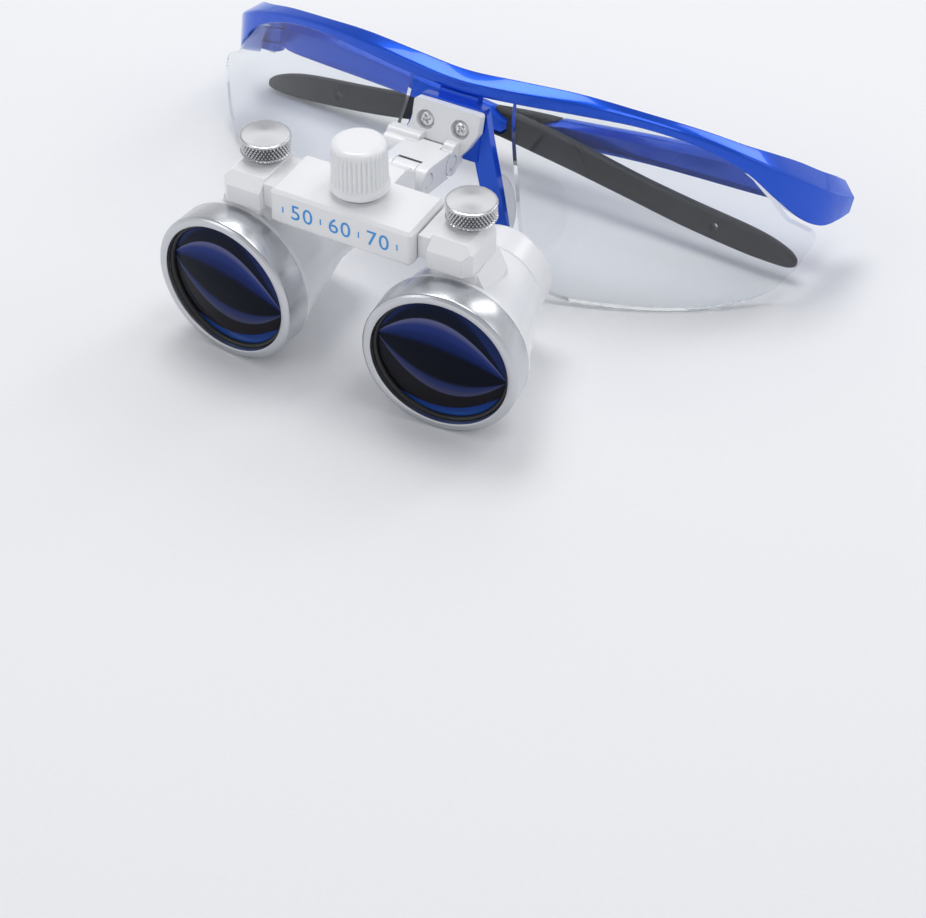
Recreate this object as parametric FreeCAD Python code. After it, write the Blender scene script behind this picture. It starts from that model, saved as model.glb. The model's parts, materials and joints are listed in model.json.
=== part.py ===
import FreeCAD, Part
import math
import os

os.makedirs("parts", exist_ok=True)

V = FreeCAD.Vector

# ---------------------------------------------------------------- driving dimensions, mm
# Working frame: +X to the wearer's left, -Y forward (where the loupes look), +Z up, floor at z = 0,
# y = 0 at the thumb screws. The pieces are written out with y = 0 at the middle of the footprint.
footprint_middle = 33.905

# glasses frame: tipped forward about X, then moved so the lens edges stand on the floor
glasses_tilt = 16.0             # degrees, back of the glasses goes down
glasses_y = 42.5
glasses_z = 44.6

# lenses, in the glasses frame (x, s = back, v = up)
lens_radius = 118.0
lens_thickness = 2.0
lens_slot_clearance = 0.1

# brow bar, from the bridge to the end piece round the temple hinge
hinge_x = 73.6
# stations: x, s, turn of the bar, depth, top, ridge, bottom
brow_stations = [
    (0.0, 1.1, 0.0, 4.2, 5.0, 2.6, -0.2),
    (14.0, 1.9, 6.0, 3.8, 4.9, 2.6, 0.3),
    (28.0, 4.4, 14.0, 3.4, 4.3, 2.4, 0.8),
    (42.0, 8.8, 21.0, 3.2, 3.1, 1.8, 0.7),
    (54.0, 14.2, 28.0, 3.4, 2.0, 0.2, -1.6),
    (hinge_x - 10.1, 20.0, 37.0, 4.4, -0.4, -2.6, -6.0),
    (hinge_x - 4.1, 25.6, 48.0, 5.6, -2.5, -5.6, -12.0),
    (hinge_x + 0.4, 32.4, 60.0, 6.0, -5.0, -8.8, -17.6),
    (hinge_x + 3.8, 38.6, 70.0, 5.4, -7.6, -11.8, -20.2),
    (hinge_x + 5.8, 44.6, 79.0, 4.6, -9.8, -14.0, -20.2),
    (hinge_x + 6.8, 50.0, 85.0, 4.2, -12.0, -15.6, -19.8),
]

# temples
hinge_s = 43.5
hinge_v = -15.5
knuckle_radius = 3.0
knuckle_height = 3.6
lug_gap = 0.1
lug_height = 2.4
arm_start = 4.4
arm_length = 70.0
arm_thickness = 3.4
spigot_length = 3.2
spigot_span = (-5.0, -3.4)
left_fold_turn = 2.6            # left temple lies nearer the lenses
right_fold_turn = 1.6           # right temple lies behind it
strap_hole_radius = 1.1
strap_hole_at = (58.0, -12.2)   # along the tip from the end of the blade, height
# each row: along from the end of the blade, top, bottom, half thickness
tip_stations = [
    (-5.2, -0.6, -7.4, 1.7),
    (0.0, -0.9, -7.9, 1.8),
    (8.0, -1.7, -8.9, 1.8),
    (20.0, -3.4, -10.4, 1.8),
    (35.0, -6.0, -12.6, 1.7),
    (50.0, -8.0, -14.8, 1.7),
    (65.0, -9.6, -16.3, 1.7),
    (72.0, -10.8, -16.6, 1.7),
    (77.0, -12.4, -16.6, 1.5),
    (79.5, -14.0, -15.9, 0.9),
]

# bracket and flip hinge
bracket_half_width = 8.5
bracket_front = -5.6
bracket_thickness = 2.5
bracket_top = -2.4
bracket_bottom = -15.5
bracket_screw_spots = (-5.0, 3.9)
bracket_screw_v = -7.0
bracket_wing = 13.0             # reach of the lower left wing
hinge_shift = -1.5              # hinge middle, left of the bridge
upper_axis = (31.2, 33.0)       # y, z
lower_axis = (19.9, 35.0)
hinge_radius = 3.2
tongue_half = 2.95
tongue_step = -2.7              # past this line, from the lower axis, the tongue is round
ear_inner = 3.05
ear_outer = 5.9
pin_radius = 1.0

# centre housing
housing_half = 17.5
housing_front = -12.0
housing_back = 3.6
housing_bottom = 37.5
housing_top = 45.3
knob_y = -3.0
slot_bottom = 39.0
slot_top = 43.6
slide_clearance = 0.05
cover_thickness = 1.0

# rack and pinion
gear_module = 0.6
gear_teeth = 12
pitch_radius = gear_module * gear_teeth / 2.0
tooth_height = 0.42
tooth_root = 0.58
tooth_backlash = 0.14
rack_back = 5.6                 # from the pinion axis to the back of the rack
rack_inner_end = 12.0

# loupe carriers
barrel_x = 25.5
barrel_axis_z = 18.2
toe_out = 5.5
saddle_inner = 20.6
saddle_outer = 30.8
saddle_front = -11.0
saddle_back = 3.2
saddle_bottom = 37.5
saddle_top = 44.5
thumb_radius = 5.7
thumb_shank = 1.5
thumb_top = 50.0
thumb_knurls = 44

# barrels: distances along the axis are counted back from the front face
barrel_front = 18.0             # from the thumb screw axis to the front face
ring_radius = 18.2
ring_depth = 7.4
aperture_radius = 16.4
eye_ring_radius = 11.8
barrel_length = 38.5

# centre knob
knob_radius = 6.2
knob_flange_radius = 6.6
knob_top = 58.1
knob_flutes = 36


# ---------------------------------------------------------------- helpers
def box(x0, x1, y0, y1, z0, z1):
    return Part.makeBox(x1 - x0, y1 - y0, z1 - z0, V(x0, y0, z0))


def rod(radius, start, end):
    axis = end - start
    return Part.makeCylinder(radius, axis.Length, start, axis)


def prism(points, direction):
    wire = Part.makePolygon(points + [points[0]])
    return Part.Face(wire).extrude(direction)


def turned(profile, centre=V(0, 0, 0), axis=V(0, 0, 1)):
    """Full turn of a closed outline given as (radius, height) pairs."""
    side = V(1, 0, 0) if abs(axis.x) < 0.5 else V(0, 1, 0)
    points = [centre + side * r + axis * h for r, h in profile]
    wire = Part.makePolygon(points + [points[0]])
    return Part.Face(wire).revolve(centre, axis, 360)


def mirrored(shape):
    return shape.mirror(V(0, 0, 0), V(1, 0, 0))


def moved(shape, offset, angle=0.0, axis=V(0, 0, 1)):
    copy = shape.copy()
    copy.rotate(V(0, 0, 0), axis, angle)
    copy.translate(offset)
    return copy


def seat_glasses(shape):
    return moved(shape, V(0, glasses_y, glasses_z), -glasses_tilt, V(1, 0, 0))


def star(radius, depth, count, z0, z1, flat=0.5):
    """Fluted or knurled cylinder: outward teeth with sharp grooves between."""
    points = []
    for i in range(count):
        a = 2 * math.pi * i / count
        half = math.pi / count
        for r, t in ((radius, a - half * flat), (radius, a + half * flat),
                     (radius - depth, a + half)):
            points.append(V(r * math.cos(t), r * math.sin(t), z0))
    return prism(points, V(0, 0, z1 - z0))


def cross_recess(size, depth, top):
    """Phillips style cross pointing down from z = top."""
    arm = box(-size, size, -size * 0.3, size * 0.3, top - depth, top + 0.1)
    other = box(-size * 0.3, size * 0.3, -size, size, top - depth, top + 0.1)
    return arm.fuse(other).removeSplitter()


def screw(head_radius, head_height, shank_radius, length, recess=True):
    """Pan head at z = 0..head_height, shank running down to z = -length."""
    edge = min(0.35, head_height * 0.4)
    body = turned([(0, -length), (shank_radius - 0.25, -length), (shank_radius, -length + 0.4),
                   (shank_radius, 0), (head_radius, 0), (head_radius, head_height - edge),
                   (head_radius - edge, head_height), (0, head_height)])
    if recess:
        body = body.cut(cross_recess(head_radius * 0.62, head_height * 0.6, head_height))
    return body


parts = {}


def keep(name, shape, glasses=False):
    solid = seat_glasses(shape) if glasses else shape
    parts[name] = solid


# ---------------------------------------------------------------- lenses
def lens_shell(extra):
    outer = Part.makeCylinder(lens_radius + extra, 110, V(0, lens_radius, -80))
    inner = Part.makeCylinder(lens_radius - lens_thickness - extra, 110, V(0, lens_radius, -80))
    return outer.cut(inner)


lens_top = [(13.2, 1.5), (34.0, 2.1), (50.0, 0.4), (60.0, -2.9), (66.0, -7.6), (70.5, -12.6),
            (74.0, -17.0), (78.8, -19.6)]


def lens_outline():
    rim = [(78.8, -19.6), (79.8, -21.8), (78.4, -27.0), (75.2, -33.4), (69.4, -37.8),
           (61.0, -40.7), (50.0, -42.5), (38.0, -43.4), (28.0, -42.8), (22.6, -39.4)]
    nose = [(22.6, -39.4), (19.4, -30.0), (16.0, -16.0), (13.8, -6.0), (13.2, 1.5)]
    edges = []
    for row in (rim, nose):
        curve = Part.BSplineCurve()
        curve.interpolate([V(x, 0, v) for x, v in row])
        edges.append(curve.toShape())
    for p, q in zip(lens_top, lens_top[1:]):
        edges.append(Part.makeLine(V(p[0], 0, p[1]), V(q[0], 0, q[1])))
    return Part.Face(Part.Wire(Part.sortEdges(edges)[0]))


def lens_blank(face, extra):
    slab = face.extrude(V(0, 60, 0))
    slab.translate(V(0, -5, 0))
    return slab.common(lens_shell(extra)).Solids[0]


def groove():
    line = [(x, v + 0.15) for x, v in lens_top]
    reach = line[-1][0] + 11.0
    line = [(line[0][0] - 0.4, line[0][1])] + line[1:-1] + [(reach, line[-2][1] - 2.0)]
    outline = line + [(reach, -60.0), (line[0][0], -60.0)]
    face = Part.Face(Part.makePolygon([V(x, 0, v) for x, v in outline + outline[:1]]))
    return lens_blank(face, lens_slot_clearance)


lens_right = lens_blank(lens_outline(), 0.0)
lens_cutter = groove()
keep("lens_right", lens_right, True)
keep("lens_left", mirrored(lens_right), True)


# ---------------------------------------------------------------- brow bar with end pieces
def brow_section(x, s, turn, depth, top, ridge, bottom, side):
    a = math.radians(turn)
    out = V(math.sin(a), -math.cos(a), 0)
    pairs = [(-depth / 2, top - 0.9), (-depth / 2 + 1.0, top), (depth / 2 - 0.9, ridge + 0.9),
             (depth / 2, ridge), (depth / 2 - 0.45, bottom), (-depth / 2, bottom)]
    points = []
    for n, v in pairs:
        p = V(x, s, 0) + out * n
        points.append(V(side * p.x, p.y, v))
    return Part.makePolygon(points + [points[0]])


sections = [brow_section(*row, -1) for row in reversed(brow_stations[1:])]
sections += [brow_section(*row, 1) for row in brow_stations]
brow = Part.makeLoft(sections, True, False)

lug_reach = 5.4
for side in (1, -1):
    for low in (hinge_v + knuckle_height / 2 + lug_gap,
                hinge_v - knuckle_height / 2 - lug_gap - lug_height):
        lug = Part.makeCylinder(knuckle_radius, lug_height, V(side * hinge_x, hinge_s, low))
        bar = box(0, lug_reach, -knuckle_radius, knuckle_radius, low, low + lug_height)
        if side < 0:
            bar = mirrored(bar)
        bar.translate(V(side * hinge_x, hinge_s, 0))
        brow = brow.fuse(lug).fuse(bar)

socket = box(-5.05, 5.05, 0.15, 2.25, -3.0, 1.6)
brow = brow.cut(socket)
for side in (1, -1):
    cutter = lens_cutter if side > 0 else mirrored(lens_cutter)
    brow = brow.cut(cutter)
    at = V(side * hinge_x, hinge_s, 0)
    brow = brow.cut(Part.makeCylinder(knuckle_radius + 0.4, knuckle_height + 2 * lug_gap,
                                      at + V(0, 0, hinge_v - knuckle_height / 2 - lug_gap)))
    top_face = hinge_v + knuckle_height / 2 + lug_gap + lug_height
    brow = brow.cut(Part.makeCylinder(pin_radius, 14, at + V(0, 0, hinge_v - 6.5)))
    brow = brow.cut(Part.makeCylinder(2.0, 2.0, at + V(0, 0, top_face - 1.2)))
keep("front_frame", brow, True)

# ---------------------------------------------------------------- nose fork and pads
fork = box(-8.0, 8.0, -3.0, 0.1, -14.5, -2.0).fuse(box(-5.0, 5.0, -0.5, 2.2, -3.2, -0.35))
fork = fork.fuse(box(-5.0, 5.0, 0.2, 2.2, -2.0, 1.5))
for side in (1, -1):
    rows = []
    for x, s, v, wide, thick in ((6.0, -1.4, -3.0, 5.0, 2.8), (9.6, -1.0, -14.0, 5.0, 2.8),
                                 (13.6, 0.6, -26.0, 5.0, 2.8), (17.0, 3.0, -37.0, 4.4, 2.4)):
        corners = [(x - wide / 2, s - thick / 2), (x + wide / 2, s - thick / 2 + 0.4),
                   (x + wide / 2, s + thick / 2), (x - wide / 2, s + thick / 2)]
        rows.append(Part.makePolygon([V(side * a, b, v) for a, b in corners + corners[:1]]))
    fork = fork.fuse(Part.makeLoft(rows, True, False))
fork = fork.removeSplitter()
fork = fork.cut(lens_cutter).cut(mirrored(lens_cutter))
for spot in bracket_screw_spots:
    hole_at = V(spot, -3.1, bracket_screw_v)
    fork = fork.cut(rod(1.1, hole_at, hole_at + V(0, 2.9, 0)))
for side in (1, -1):
    pin_at = V(side * 13.0, 0.0, -25.5)
    fork = fork.cut(rod(0.9, pin_at, pin_at + V(0, 6, 0)))
keep("nose_fork", fork, True)

pad = Part.makeSphere(1.0)
squash = FreeCAD.Matrix()
squash.scale(3.4, 1.5, 7.6)
pad = pad.transformGeometry(squash)
pad.rotate(V(0, 0, 0), V(0, 0, 1), 38)
pad.rotate(V(0, 0, 0), V(0, 1, 0), -14)
pad.translate(V(12.4, 5.2, -26.0))
stem = rod(0.9, V(13.0, 0.2, -25.5), V(13.0, 5.0, -25.5))
pad = pad.fuse(stem).removeSplitter()
keep("nose_pad_right", pad, True)
keep("nose_pad_left", mirrored(pad), True)


# ---------------------------------------------------------------- temples, built along +X from the hinge
def blade_outline(extra):
    end = arm_length + extra
    return [(arm_start, -3.4), (arm_start, 4.6), (12.0, 5.0), (end - 30.0, 2.4), (end - 10.0, 0.1),
            (end - 4.8, -0.5), (end, -2.6 + extra), (end, -5.4 - extra), (end - 1.6, -6.9 - extra),
            (end - 10.0, -6.4), (end - 30.0, -4.8), (12.0, -3.8)]


def temple_arm():
    high = knuckle_height / 2
    body = Part.makeCylinder(knuckle_radius, knuckle_height, V(0, 0, -high))
    body = body.fuse(box(0, arm_start + 1.5, -arm_thickness / 2, arm_thickness / 2, -high, high))
    blade = prism([V(a, -arm_thickness / 2, b) for a, b in blade_outline(0.0)],
                  V(0, arm_thickness, 0))
    long_edges = [e for e in blade.Edges
                  if e.BoundBox.XLength > 5 and min(abs(e.BoundBox.YMin), abs(e.BoundBox.YMax)) > 1]
    blade = blade.makeFillet(0.9, long_edges)
    body = body.fuse(blade)
    body = body.fuse(box(arm_length - 0.5, arm_length + spigot_length, -0.8, 0.8, *spigot_span))
    body = body.removeSplitter()
    return body.cut(Part.makeCylinder(pin_radius + 0.05, 8, V(0, 0, -4)))


def temple_tip():
    rows = []
    for reach, top, low, half in tip_stations:
        a = arm_length + reach
        edge = min(0.9, half * 0.55)
        side = half - edge
        corners = [(side, top), (half, top - edge), (half, low + edge), (side, low),
                   (-side, low), (-half, low + edge), (-half, top - edge), (-side, top)]
        rows.append(Part.makePolygon([V(a, n, v) for n, v in corners + corners[:1]]))
    body = Part.makeLoft(rows, True, False)
    outline = [p for p in blade_outline(0.1) if p[0] > arm_length - 20]
    outline = [(arm_length - 20, 9.0), (arm_length - 5.2, 9.0)] + outline[1:-1]
    outline += [(arm_length - 5.2, -15.0), (arm_length - 20, -15.0)]
    body = body.cut(prism([V(x, -4, z) for x, z in outline], V(0, 8, 0))).Solids[0]
    body = body.cut(box(arm_length - 1, arm_length + spigot_length + 0.1, -0.8, 0.8, *spigot_span))
    a, b = strap_hole_at
    a = a + arm_length
    return body.cut(rod(strap_hole_radius, V(a, -3, b), V(a, 3, b)))


def hang_temple(shape, side):
    """Right temple (+X hinge) folds to -X, left temple to +X."""
    if side > 0:
        return moved(shape, V(hinge_x, hinge_s, hinge_v), 180.0 - right_fold_turn)
    return moved(shape, V(-hinge_x, hinge_s, hinge_v), -left_fold_turn)


arm = temple_arm()
tip = temple_tip()
for side, name in ((1, "right"), (-1, "left")):
    keep("temple_" + name, hang_temple(arm, side), True)
    keep("temple_tip_" + name, hang_temple(tip, side), True)
    top_face = hinge_v + knuckle_height / 2 + lug_gap + lug_height
    pin = screw(1.8, 1.1, pin_radius, 8.4)
    keep("temple_hinge_screw_" + name, moved(pin, V(side * hinge_x, hinge_s, top_face - 1.2)), True)

# ---------------------------------------------------------------- bracket on the bridge
right_foot = ear_outer + hinge_shift
plate_outline = [(-bracket_wing, -12.8), (-bracket_wing, bracket_bottom),
                 (right_foot, bracket_bottom), (right_foot, -13.8), (right_foot + 2.0, -11.2),
                 (bracket_half_width, -7.2), (bracket_half_width, bracket_top),
                 (-bracket_half_width, bracket_top), (-bracket_half_width, -5.4)]
corners = [V(a, bracket_front, b) for a, b in plate_outline]
plate_edges = [Part.makeLine(p, q) for p, q in zip(corners, corners[1:])]
plate_edges.append(Part.Arc(corners[-1], V(-9.7, bracket_front, -10.2), corners[0]).toShape())
plate = Part.Face(Part.Wire(plate_edges)).extrude(V(0, bracket_thickness, 0))
upright = [e for e in plate.Edges if e.BoundBox.YLength > 2 and e.BoundBox.XLength < 0.01
           and e.BoundBox.ZMin > -11.5]
plate = plate.makeFillet(0.8, upright)
plate = seat_glasses(plate)


def axis_point(where, x):
    return V(x + hinge_shift, where[0], where[1])


wing_reach = bracket_wing + hinge_shift     # left end of the upper hinge, from its middle
for low, high in ((ear_inner, ear_outer), (-wing_reach, -ear_inner)):
    ear = rod(hinge_radius, axis_point(upper_axis, low), axis_point(upper_axis, high))
    rib = box(low + hinge_shift, high + hinge_shift, -8.6, bracket_front + 0.5, -15.4, -9.9)
    top_front = [e for e in rib.Edges if e.BoundBox.YMax < -8.5 and e.BoundBox.ZMin > -10.0]
    rib = seat_glasses(rib.makeFillet(1.6, top_front))
    plate = plate.fuse(ear).fuse(rib)
plate = plate.removeSplitter()
plate = plate.cut(rod(hinge_radius + 0.4, axis_point(upper_axis, -ear_inner),
                      axis_point(upper_axis, ear_inner)))
plate = plate.cut(rod(pin_radius, axis_point(upper_axis, -15), axis_point(upper_axis, 8)))
plate = plate.cut(rod(1.9, axis_point(upper_axis, ear_outer - 1.3), axis_point(upper_axis, 9)))
plate = plate.cut(rod(1.9, axis_point(upper_axis, -wing_reach + 1.3), axis_point(upper_axis, -15)))
screw_cuts = []
bracket_screws = []
for spot in bracket_screw_spots:
    at = V(spot, bracket_front, bracket_screw_v)
    screw_cuts.append(rod(1.15, at - V(0, 1, 0), at + V(0, 4, 0)))
    screw_cuts.append(rod(2.3, at - V(0, 1, 0), at + V(0, 1.7, 0)))
    one = screw(1.8, 1.1, 1.1, 3.3)
    one.rotate(V(0, 0, 0), V(1, 0, 0), 90)
    one.rotate(V(0, 0, 0), V(0, 1, 0), 25)
    one.translate(at + V(0, 1.7, 0))
    bracket_screws.append(one)
for cut in screw_cuts:
    plate = plate.cut(seat_glasses(cut))
keep("frame_bracket", plate)
keep("bracket_screws", Part.makeCompound(bracket_screws), True)


def cross_pin(where, reach):
    """Moulded hinge pin along X: head at +X, snapped into its cap at -X."""
    pin = screw(1.8, 1.1, pin_radius, ear_outer + reach - 1.5, False)
    pin.rotate(V(0, 0, 0), V(0, 1, 0), 90)
    pin.translate(axis_point(where, ear_outer - 1.3))
    return pin


def pin_cap(where, reach):
    cap = rod(1.85, axis_point(where, -reach + 1.3), axis_point(where, -reach + 0.2))
    return cap.cut(rod(pin_radius, axis_point(where, -15), axis_point(where, 0)))


for name, where, reach in (("upper", upper_axis, wing_reach), ("lower", lower_axis, ear_outer)):
    keep(name + "_hinge_pin", cross_pin(where, reach))
    keep(name + "_pin_cap", pin_cap(where, reach))

# ---------------------------------------------------------------- flip link
low_point = axis_point(lower_axis, -ear_outer)
high_point = axis_point(upper_axis, -ear_outer)
along = high_point - low_point
across = V(0, -along.z, along.y)
across.normalize()
bar = prism([low_point + across * hinge_radius, high_point + across * hinge_radius,
             high_point - across * hinge_radius, low_point - across * hinge_radius],
            V(2 * ear_outer, 0, 0))
link = bar
for where in (lower_axis, upper_axis):
    link = link.fuse(rod(hinge_radius, axis_point(where, -ear_outer), axis_point(where, ear_outer)))
link = link.removeSplitter()
link = link.cut(rod(hinge_radius + 0.4, axis_point(lower_axis, -ear_inner),
                    axis_point(lower_axis, ear_inner)))
for side in (1, -1):
    link = link.cut(rod(hinge_radius + 0.4, axis_point(upper_axis, side * tongue_half),
                        axis_point(upper_axis, side * 8)))
link = link.cut(rod(pin_radius + 0.05, axis_point(upper_axis, -8), axis_point(upper_axis, 8)))
link = link.cut(rod(pin_radius, axis_point(lower_axis, -8), axis_point(lower_axis, 8)))
link = link.cut(rod(1.9, axis_point(lower_axis, ear_outer - 1.3), axis_point(lower_axis, 9)))
link = link.cut(rod(1.9, axis_point(lower_axis, -ear_outer + 1.3), axis_point(lower_axis, -9)))
keep("flip_link", link)

# ---------------------------------------------------------------- centre housing
housing = box(-housing_half, housing_half, housing_front, housing_back, housing_bottom, housing_top)
corner_edges = [e for e in housing.Edges if e.BoundBox.ZLength > 5]
housing = housing.makeFillet(1.1, corner_edges)
top_edges = [e for e in housing.Edges if e.BoundBox.ZMin > housing_top - 0.01]
housing = housing.makeChamfer(0.8, top_edges)
hinge_y = lower_axis[0]
neck_outline = [(housing_back - 1, housing_bottom + 0.2), (housing_back - 1, housing_top - 0.9),
                (hinge_y - 10.5, housing_top - 0.9), (hinge_y - 6.5, 41.4), (hinge_y - 6.5, 37.0),
                (hinge_y - 10.5, housing_bottom + 0.2)]
neck = prism([V(hinge_shift - 6.0, a, b) for a, b in neck_outline], V(12.0, 0, 0))
tongue_outline = [(-8.5, 42.6), (-3.5, 39.4), (1.5, 37.86), (-1.5, 32.2), (-6.5, 34.8),
                  (-8.5, 37.4)]
tongue = prism([V(hinge_shift - tongue_half, hinge_y + a, b) for a, b in tongue_outline],
               V(2 * tongue_half, 0, 0))
tongue = tongue.common(rod(11.0, V(-9, hinge_y - 7.5, 36.6), V(9, hinge_y - 7.5, 36.6)))
disc = rod(hinge_radius, axis_point(lower_axis, -tongue_half), axis_point(lower_axis, tongue_half))
clear = rod(30.0, axis_point(lower_axis, -4), axis_point(lower_axis, 4)).cut(
    rod(hinge_radius, axis_point(lower_axis, -5), axis_point(lower_axis, 5)))
step_y = hinge_y + tongue_step
tongue_near = tongue.common(box(-9, 9, step_y, 30, 20, 60)).cut(clear)
tongue = tongue.common(box(-9, 9, 0, step_y, 20, 60)).fuse(tongue_near).fuse(disc)
housing = housing.fuse(neck).fuse(tongue).removeSplitter()

hub = V(0, knob_y, 0)
cavity = Part.makeCylinder(pitch_radius + 0.9, 6.3, hub + V(0, 0, housing_bottom - 0.1))
housing = housing.cut(cavity)
slot_back = rack_back + slide_clearance
slot_face = pitch_radius - 0.9
for side in (1, -1):
    low_y = knob_y - slot_back if side > 0 else knob_y + slot_face
    high_y = knob_y - slot_face if side > 0 else knob_y + slot_back
    if side > 0:
        slot = box(-14.5, housing_half + 1, low_y, high_y, slot_bottom, slot_top)
    else:
        slot = box(-housing_half - 1, 14.5, low_y, high_y, slot_bottom, slot_top)
    housing = housing.cut(slot)
housing = housing.cut(Part.makeCylinder(1.55, 10, hub + V(0, 0, 40)))
housing = housing.cut(rod(pin_radius + 0.05, axis_point(lower_axis, -8),
                          axis_point(lower_axis, 8)))
cover = box(-16.6, 16.6, housing_front + 0.9, housing_back - 0.9,
            housing_bottom - cover_thickness, housing_bottom)
cover = cover.cut(Part.makeCylinder(1.53, 3, hub + V(0, 0, housing_bottom - 2)))
cover_screws = []
for side in (1, -1):
    at = V(side * 11.5, knob_y, housing_bottom - cover_thickness)
    cover = cover.cut(Part.makeCylinder(1.05, 3, at - V(0, 0, 1)))
    cover = cover.cut(Part.makeCylinder(1.8, 1.7, at - V(0, 0, 1)))
    housing = housing.cut(Part.makeCylinder(1.0, 5.5, at + V(0, 0, 0.5)))
    one = screw(1.7, 0.7, 1.0, 5.0)
    one.rotate(V(0, 0, 0), V(1, 0, 0), 180)
    one.translate(at + V(0, 0, 0.7))
    cover_screws.append(one)
keep("centre_housing", housing)
keep("housing_cover", cover)
keep("cover_screws", Part.makeCompound(cover_screws))


# ---------------------------------------------------------------- pinion, racks and knob
def involute(base, radius):
    turn = math.sqrt(max((radius / base) ** 2 - 1.0, 0.0))
    return turn - math.atan(turn)


def pinion(z0, z1):
    base = pitch_radius * math.cos(math.radians(20))
    outer = pitch_radius + tooth_height
    root = pitch_radius - tooth_root
    half = (math.pi * gear_module / 2 - tooth_backlash) / (2 * pitch_radius)
    start = half + involute(base, pitch_radius)
    points = []
    for i in range(gear_teeth):
        centre = 2 * math.pi * i / gear_teeth
        flank = []
        for k in range(5):
            r = max(base, root) + (outer - max(base, root)) * k / 4
            flank.append((r, start - involute(base, r)))
        flank = [(root, start + 0.03)] + flank
        rising = [(r, centre - a) for r, a in flank]
        falling = [(r, centre + a) for r, a in reversed(flank)]
        points += rising + falling
    return prism([V(r * math.cos(a), r * math.sin(a), z0) for r, a in points], V(0, 0, z1 - z0))


def rack(side):
    """side +1 is the rack in front of the pinion, on the right arm."""
    pitch = math.pi * gear_module
    half = pitch / 4 - tooth_backlash / 2
    slope = math.tan(math.radians(20))
    inner = -rack_inner_end
    outer = housing_half + 0.3
    line = []
    for i in range(math.floor(inner / pitch), math.ceil(outer / pitch)):
        centre = (i + 0.5) * pitch
        line += [(centre - half - tooth_root * slope, pitch_radius + tooth_root),
                 (centre - half + tooth_height * slope, pitch_radius - tooth_height),
                 (centre + half - tooth_height * slope, pitch_radius - tooth_height),
                 (centre + half + tooth_root * slope, pitch_radius + tooth_root)]
    line = [p for p in line if inner + 0.2 < p[0] < outer - 0.2]
    outline = ([(inner, rack_back), (inner, pitch_radius + tooth_root)] + line
               + [(outer, pitch_radius + tooth_root), (outer, rack_back)])
    z0 = slot_bottom + slide_clearance
    high = slot_top - slot_bottom - 2 * slide_clearance
    shape = prism([V(side * a, knob_y - side * b, z0) for a, b in outline], V(0, 0, high))
    return shape


gear = pinion(39.2, 43.4)
gear.rotate(V(0, 0, 0), V(0, 0, 1), 90)
shaft = Part.makeCylinder(1.5, 55.0 - 36.9, V(0, 0, 36.9)).fuse(gear).removeSplitter()
shaft = shaft.cut(box(1.1, 3.0, -3.0, 3.0, 47.0, 56.0))
keep("pinion_shaft", moved(shaft, hub))

knob = star(knob_radius, 0.32, knob_flutes, 48.0, knob_top, 0.62)
knob = knob.common(turned([(0, 47.9), (6.3, 47.9), (6.2, 48.6), (6.1, 56.6), (5.2, knob_top),
                           (0, knob_top)]))
knob = knob.fuse(turned([(0, 45.5), (5.0, 45.5), (5.0, 46.3), (6.2, 46.5), (knob_flange_radius, 47.0),
                         (knob_flange_radius, 48.1), (6.2, 48.6), (0, 48.6)]))
knob = knob.removeSplitter()
bore = Part.makeCylinder(1.5, 55.0 - 45.0, V(0, 0, 45.0))
knob = knob.cut(bore.cut(box(1.1, 3.0, -3.0, 3.0, 47.0, 56.0)))
keep("pd_knob", moved(knob, hub))

# ---------------------------------------------------------------- sliding arms and saddles
for side, name in ((1, "right"), (-1, "left")):
    plate_x = housing_half + 0.25
    ends = sorted((side * plate_x, side * (saddle_inner - 0.02)))
    shoulder = box(ends[0], ends[1], -9.4, 2.6, 38.2, 43.9)
    peg_ends = sorted((side * (saddle_inner - 0.5), side * (saddle_inner + 1.6)))
    peg = box(peg_ends[0], peg_ends[1], -7.0, 1.0, 39.6, 42.6)
    slide = rack(side).fuse(shoulder).fuse(peg).removeSplitter()
    keep("rack_arm_" + name, slide)

    saddle = box(saddle_inner, saddle_outer, saddle_front, saddle_back, saddle_bottom, saddle_top)
    outer_edges = [e for e in saddle.Edges
                   if e.BoundBox.XMin > saddle_outer - 0.01 and e.BoundBox.ZMax > saddle_top - 0.01]
    saddle = saddle.makeChamfer(1.8, outer_edges)
    slope = prism([V(0, saddle_front - 1, saddle_top - 2.6), V(0, saddle_front, saddle_top - 2.6),
                   V(0, saddle_front + 2.6, saddle_top), V(0, saddle_front + 2.6, saddle_top + 1),
                   V(0, saddle_front - 1, saddle_top + 1)], V(40, 0, 0))
    saddle = saddle.cut(slope)
    rim = [e for e in saddle.Edges if e.BoundBox.ZMin > saddle_top - 0.01]
    saddle = saddle.makeFillet(0.4, rim)
    saddle = saddle.cut(box(saddle_inner - 1, saddle_inner + 1.7, -7.0, 1.0, 39.6, 42.6))
    saddle = saddle.cut(Part.makeCylinder(thumb_shank + slide_clearance, 12, V(barrel_x, 0, 35)))
    keep("saddle_" + name, saddle if side > 0 else mirrored(saddle))

    thumb = star(thumb_radius, 0.3, thumb_knurls, 45.5, thumb_top, 0.3)
    thumb = thumb.common(turned([(0, 45.5), (5.2, 45.5), (thumb_radius, 46.0),
                                 (thumb_radius, thumb_top - 0.5), (5.2, thumb_top),
                                 (0, thumb_top)]))
    thumb = thumb.fuse(Part.makeCylinder(4.4, 1.1, V(0, 0, 44.6)))
    thumb = thumb.fuse(Part.makeCylinder(thumb_shank, 12.0, V(0, 0, 33.2))).removeSplitter()
    thumb = thumb.cut(turned([(0, thumb_top - 0.3), (4.4, thumb_top - 0.3), (4.7, thumb_top + 0.1),
                              (0, thumb_top + 0.1)]))
    keep("thumb_screw_" + name, moved(thumb, V(side * barrel_x, 0, 0)))

# ---------------------------------------------------------------- barrels
back = V(0, 1, 0)
face = V(0, -barrel_front, barrel_axis_z)

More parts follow.
